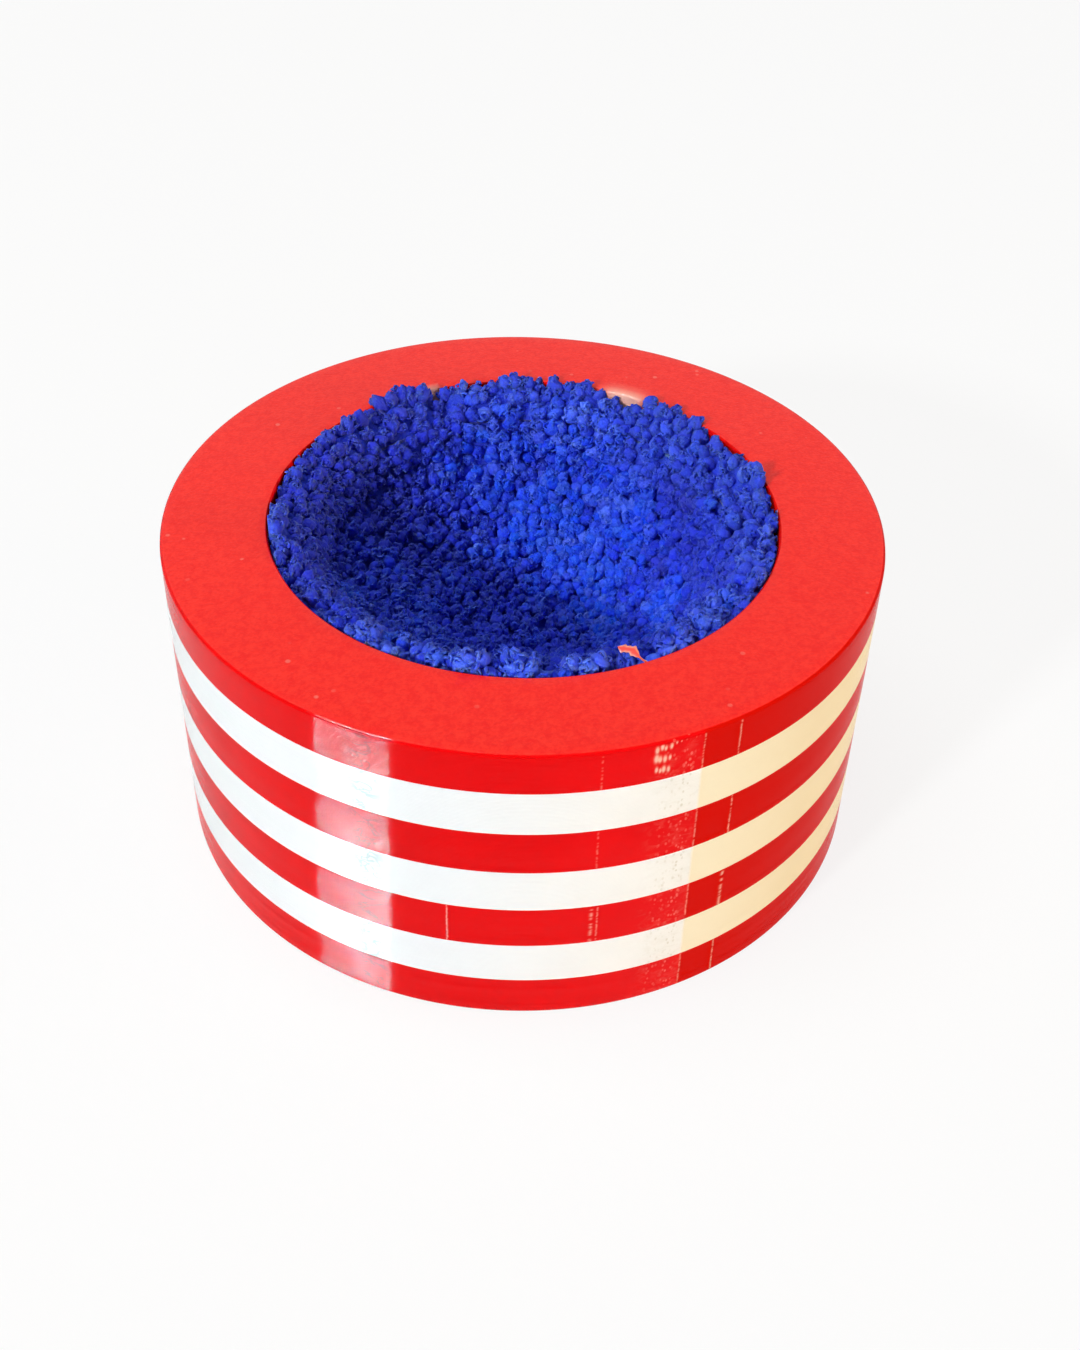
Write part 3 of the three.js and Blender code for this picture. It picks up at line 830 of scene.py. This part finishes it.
def bed(cols=120):
    """The closed mass of pile under the tufts: its front a little lower, its back on the cloth."""
    runs = np.linspace(0, RUN[-1], 46)
    turn = np.linspace(0, 2 * math.pi, cols, endpoint=False)
    rows = []
    for run in runs[1:]:
        p, normal, _ = front_frame(np.full(cols, run), turn)
        heap = clump(p)
        outer = min(max((run / RUN[-1] - 0.6) / 0.12, 0), 1)
        height = (0.55 + 0.25 * outer) * heap - BED_DEPTH
        p = p + normal * (height + outer * (np.maximum(height, BED_FLOOR) - height))[:, None]
        crest, behind, _, _, rise = crest_rise(np.full(cols, run), turn)
        p[:, 2] += rise
        p[:, :2] *= (1 + crest * 0.02 * (1 + behind))[:, None]
        rows.append(p)
    rows = rows[:-1]
    gap = CLOTH_T + 0.05
    back = [(BACK_R + 0.1, LIP_Z + 0.1), (BACK_R - gap, 35.6), (BACK_R - gap, BACK_HIGH)]
    for u in np.linspace(1, 0, 14)[1:-1]:
        back.append(((BACK_R - gap) * u, BACK_LOW + gap + (BACK_HIGH - BACK_LOW - gap) * u ** POWER))
    for radius, z in back:
        rows.append(np.stack([radius * np.cos(turn), radius * np.sin(turn), np.full(cols, z)], 1))
    points = np.concatenate(rows)
    radius = np.linalg.norm(points[:, :2], axis=1)
    points[:, :2] *= np.minimum(1, BED_ROOM / np.maximum(radius, 1e-6))[:, None]
    faces = [f[::-1] for f in grid_faces(len(rows), cols, False)]
    start = front(np.array(0.0), np.array(0.0)) + np.array([0, 0, -BED_DEPTH])
    points = np.concatenate([points, [start], [[0, 0, BACK_LOW + gap]]])
    low, high = len(points) - 2, len(points) - 1
    lastrow = (len(rows) - 1) * cols
    faces += [(low, k, (k + 1) % cols) for k in range(cols)]
    faces += [(high, lastrow + (k + 1) % cols, lastrow + k) for k in range(cols)]
    return points, faces


def pile():
    """The tufts and the bed under them, as one piece."""
    rng = np.random.default_rng(7)
    points, faces, tone, tip, pale = tufts(rng)
    under, under_faces = bed()
    offset = len(points)
    faces = faces + [tuple(offset + k for k in f) for f in under_faces]
    points = np.concatenate([points, under])
    obj = mesh_object("pile_tufts", points, faces)
    # The bed is kept dark, painted shade under and between the tufts
    attribute(obj, "tone", np.concatenate([tone, np.full(len(under), 0.2)]))
    attribute(obj, "tip", np.concatenate([tip, np.full(len(under), 0.1)]))
    attribute(obj, "pale", np.concatenate([pale, np.zeros(len(under))]))
    obj.data.materials.append(blue)
    return obj


def liner_cloth():
    """The ground cloth: up the back of the bowl, out under the hoop as the hem, and its own thickness."""
    thick = CLOTH_T
    outside = [(BACK_R * u, BACK_LOW + (BACK_HIGH - BACK_LOW) * u ** POWER) for u in np.linspace(0, 1, 26)[1:]]
    outside += [(BACK_R, 34.45), (29.3, 34.5), (29.35, 34.9), (29.3, 35.3), (BACK_R, 35.3), (BACK_R, 38.3)]
    inside = [(BACK_R - thick, 38.3), (BACK_R - thick, BACK_HIGH)]
    inside += [((BACK_R - thick) * u, BACK_LOW + thick + (BACK_HIGH - BACK_LOW - thick) * u ** POWER)
               for u in np.linspace(1, 0, 26)[1:-1]]
    section = outside + inside
    cols = 120
    turn = np.linspace(0, 2 * math.pi, cols, endpoint=False)
    rows = [np.stack([r * np.cos(turn), r * np.sin(turn), np.full(cols, z)], 1) for r, z in section]
    points = np.concatenate(rows + [[[0, 0, BACK_LOW]], [[0, 0, BACK_LOW + thick]]])
    faces = grid_faces(len(section), cols, False)
    low, high = len(points) - 2, len(points) - 1
    last = (len(section) - 1) * cols
    faces += [(low, (k + 1) % cols, k) for k in range(cols)]
    faces += [(high, last + k, last + (k + 1) % cols) for k in range(cols)]
    obj = mesh_object("liner_cloth", points, faces, sharp=50)
    obj.data.materials.append(ground)
    return obj


tufts_piece = pile()
cloth = liner_cloth()
for piece in (tufts_piece, cloth):
    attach(piece, "cartridge")
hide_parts("pile_liner")
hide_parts("pile_liner")


# Sponges: foam turned to the bowl's back, with an open-pored, slightly uneven surface

SPONGE_GAP = 0.3
SPONGE_LOW, PAD_R, SLEEVE_IN, SLEEVE_OUT = 6.4, 15.0, 15.3, 28.95
DISH_R = BACK_R + SPONGE_GAP


def foam_piece(name, section, seed):
    """Foam with the given section, whose surface is pulled in a little and dented."""
    cols = 140
    turn = np.linspace(0, 2 * math.pi, cols, endpoint=False)
    fine = []
    for (r0, z0), (r1, z1) in zip(section, section[1:] + section[:1]):
        steps = max(1, int(math.hypot(r1 - r0, z1 - z0) / 1.2))
        fine += [(r0 + (r1 - r0) * k / steps, z0 + (z1 - z0) * k / steps) for k in range(steps)]
    rows = [np.stack([r * np.cos(turn), r * np.sin(turn), np.full(cols, z)], 1) for r, z in fine]
    points = np.concatenate(rows)
    dent = np.array([noise.noise(Vector(q) * 0.9 + Vector((seed, 0, 0))) for q in points])
    centre_r = sum(r for r, _ in fine) / len(fine)
    centre_z = sum(z for _, z in fine) / len(fine)
    radial = np.linalg.norm(points[:, :2], axis=1)
    inward = np.stack([points[:, 0] / radial * (centre_r - radial), points[:, 1] / radial * (centre_r - radial),
                       centre_z - points[:, 2]], 1)
    inward /= np.linalg.norm(inward, axis=1, keepdims=True) + 1e-9
    points += inward * (0.1 + 0.1 * dent)[:, None]
    obj = mesh_object(name, points, grid_faces(len(fine), cols, True), sharp=55)
    obj.data.materials.append(foam)
    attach(obj, "cartridge")
    return obj


def dish(start, end, steps):
    """The funnel behind the bowl, from one share of its radius to another, with the sponge's gap."""
    return [(DISH_R * u, BACK_LOW - SPONGE_GAP + (BACK_HIGH - BACK_LOW + SPONGE_GAP) * u ** POWER)
            for u in np.linspace(start, end, steps)]


pad = foam_piece("foam_pad", [(0.4, SPONGE_LOW), (PAD_R, SPONGE_LOW)] + dish(PAD_R / DISH_R, 0.015, 8), 3)
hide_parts("sponge_pad")
sleeve = foam_piece("foam_sleeve", [(SLEEVE_IN, SPONGE_LOW), (SLEEVE_OUT, SPONGE_LOW), (SLEEVE_OUT, BACK_HIGH)]
                    + dish(1, SLEEVE_IN / DISH_R, 12), 11)
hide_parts("sponge_sleeve")


# The grip ring is round; the cup and the hoop keep the shape of their solids

GRIP_R, GRIP_CORD = 30.2, 0.88


def ring_mesh(name, radius, cord, level):
    """A closed ring of round section, lying level."""
    cols, sides = 160, 16
    turn = np.linspace(0, 2 * math.pi, cols, endpoint=False)
    rows = []
    for k in range(sides):
        a = 2 * math.pi * k / sides
        r, z = radius + cord * math.cos(a), level + cord * math.sin(a)
        rows.append(np.stack([r * np.cos(turn), r * np.sin(turn), np.full(cols, z)], 1))
    return mesh_object(name, np.concatenate(rows), grid_faces(sides, cols, True))


def smooth_copy(name, node, sharp):
    """A solid's own shape, with even shading over its small facets."""
    work = bmesh.new()
    work.from_mesh(node.data)
    work.transform(node.matrix_world)
    bmesh.ops.remove_doubles(work, verts=work.verts[:], dist=0.001 * MM)
    points = [tuple(v.co / MM) for v in work.verts]
    faces = [tuple(v.index for v in f.verts) for f in work.faces]
    work.free()
    return mesh_object(name, points, faces, sharp=sharp)


low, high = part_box("grip_ring")
grip = ring_mesh("grip_cord", GRIP_R, GRIP_CORD, (low.z + high.z) / 2 / MM)
grip.data.materials.append(rubber)
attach(grip, "cartridge")
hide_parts("grip_ring")
for name in ("insert_cup", "hem_hoop"):
    piece = smooth_copy(f"printed_{name}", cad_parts[name], 25)
    piece.data.materials.append(black)
    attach(piece, "cartridge")
    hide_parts(name)


# Floor, world and lamps

# Radius and height of the backdrop's section, in mm
BACKDROP = [(2500, -0.05), (2600, 6), (2900, 60), (3200, 300), (3300, 900), (3310, 2200)]
FLOOR_GLOW = 0.86
WORLD_FILL = 0.09


def stage_floor():
    """A pale level floor that turns up into a wall: bright to the camera, dimmer to what it lights."""
    n = Nodes("floor")
    at = n.coords()
    grain = n.noise(at, 3.0, 3.0)
    pale = n.mix(grain, colour(0.80, 0.80, 0.80), colour(0.82, 0.82, 0.82))
    diffuse = n.new("ShaderNodeBsdfDiffuse")
    glow = n.new("ShaderNodeEmission")
    glow.inputs["Color"].default_value = colour(1, 1, 1)
    path = n.new("ShaderNodeLightPath")
    seen = n.math("MAXIMUM", n.math("MAXIMUM", path.outputs["Is Camera Ray"], path.outputs["Is Glossy Ray"]),
                  path.outputs["Is Transmission Ray"])
    n.link(n.mix(seen, colour(0.46, 0.46, 0.46), pale), diffuse.inputs["Color"])
    mixer = n.new("ShaderNodeMixShader")
    n.link(n.math("MULTIPLY", seen, FLOOR_GLOW), mixer.inputs[0])
    n.link(diffuse.outputs[0], mixer.inputs[1])
    n.link(glow.outputs[0], mixer.inputs[2])
    n.link(mixer.outputs[0], n.out.inputs["Surface"])
    cols = 96
    turn = np.linspace(0, 2 * math.pi, cols, endpoint=False)
    rows = [np.stack([r * np.cos(turn), r * np.sin(turn), np.full(cols, z)], 1)
            for r, z in BACKDROP]
    points = np.concatenate([[[0, 0, -0.05]], *rows])
    faces = [(0, 1 + k, 1 + (k + 1) % cols) for k in range(cols)]
    faces += [f[::-1] for f in grid_faces(len(rows), cols, False, 1)]
    obj = mesh_object("floor", points, faces)
    obj.data.materials.append(n.material)


def world_light():
    """White to the camera and in reflections, a weak fill otherwise."""
    world = bpy.data.worlds.new("world")
    scene.world = world
    world.use_nodes = True
    tree = world.node_tree
    tree.nodes.clear()
    out = tree.nodes.new("ShaderNodeOutputWorld")
    back = tree.nodes.new("ShaderNodeBackground")
    back.inputs["Color"].default_value = colour(0.95, 0.98, 1.0)
    path = tree.nodes.new("ShaderNodeLightPath")
    seen = None
    for key in ("Is Camera Ray", "Is Glossy Ray", "Is Transmission Ray"):
        if seen is None:
            seen = path.outputs[key]
            continue
        node = tree.nodes.new("ShaderNodeMath")
        node.operation = "MAXIMUM"
        tree.links.new(seen, node.inputs[0])
        tree.links.new(path.outputs[key], node.inputs[1])
        seen = node.outputs[0]
    level = tree.nodes.new("ShaderNodeMapRange")
    level.inputs["To Min"].default_value = WORLD_FILL
    level.inputs["To Max"].default_value = 1.0
    tree.links.new(seen, level.inputs["Value"])
    tree.links.new(level.outputs[0], back.inputs["Strength"])
    tree.links.new(back.outputs[0], out.inputs["Surface"])


AIM = (0, 0, 0.03)


def lamp(name, azimuth, elevation, distance, width, height, watts, tint, glossy=True, diffuse=True):
    """An area lamp placed by its direction from the object, in degrees from the front towards +X."""
    a, e = math.radians(azimuth), math.radians(elevation)
    away = Vector((math.sin(a) * math.cos(e), -math.cos(a) * math.cos(e), math.sin(e)))
    data = bpy.data.lights.new(name, "AREA")
    data.shape = "RECTANGLE"
    data.size, data.size_y = width, height
    data.energy = watts
    data.color = tint
    obj = bpy.data.objects.new(name, data)
    scene.collection.objects.link(obj)
    obj.location = Vector(AIM) + away * distance
    obj.rotation_mode = "QUATERNION"
    obj.rotation_quaternion = away.to_track_quat("Z", "Y")
    obj.visible_glossy = glossy
    obj.visible_diffuse = diffuse


stage_floor()
world_light()
lamp("key", -39, 26, 1.6, 0.15, 0.15, 20.5, (0.95, 0.99, 1.0), glossy=False)
lamp("fill_front", 25, 5, 1.6, 0.5, 0.2, 6, (0.95, 0.99, 1.0), glossy=False)
lamp("fill_right", 78, 5, 1.6, 0.7, 0.2, 19, (1.0, 0.70, 0.34), glossy=False)
lamp("top", -90, 72, 1.7, 0.9, 0.9, 15, (1.0, 0.99, 0.97), glossy=False)
lamp("card_bright", -40.6, 3.2, 1.5, 0.325, 0.21, 540, (0.4, 0.92, 1), diffuse=False)
lamp("card_dim", -51.45, 3.2, 1.5, 0.243, 0.21, 200, (0.4, 0.92, 1), diffuse=False)
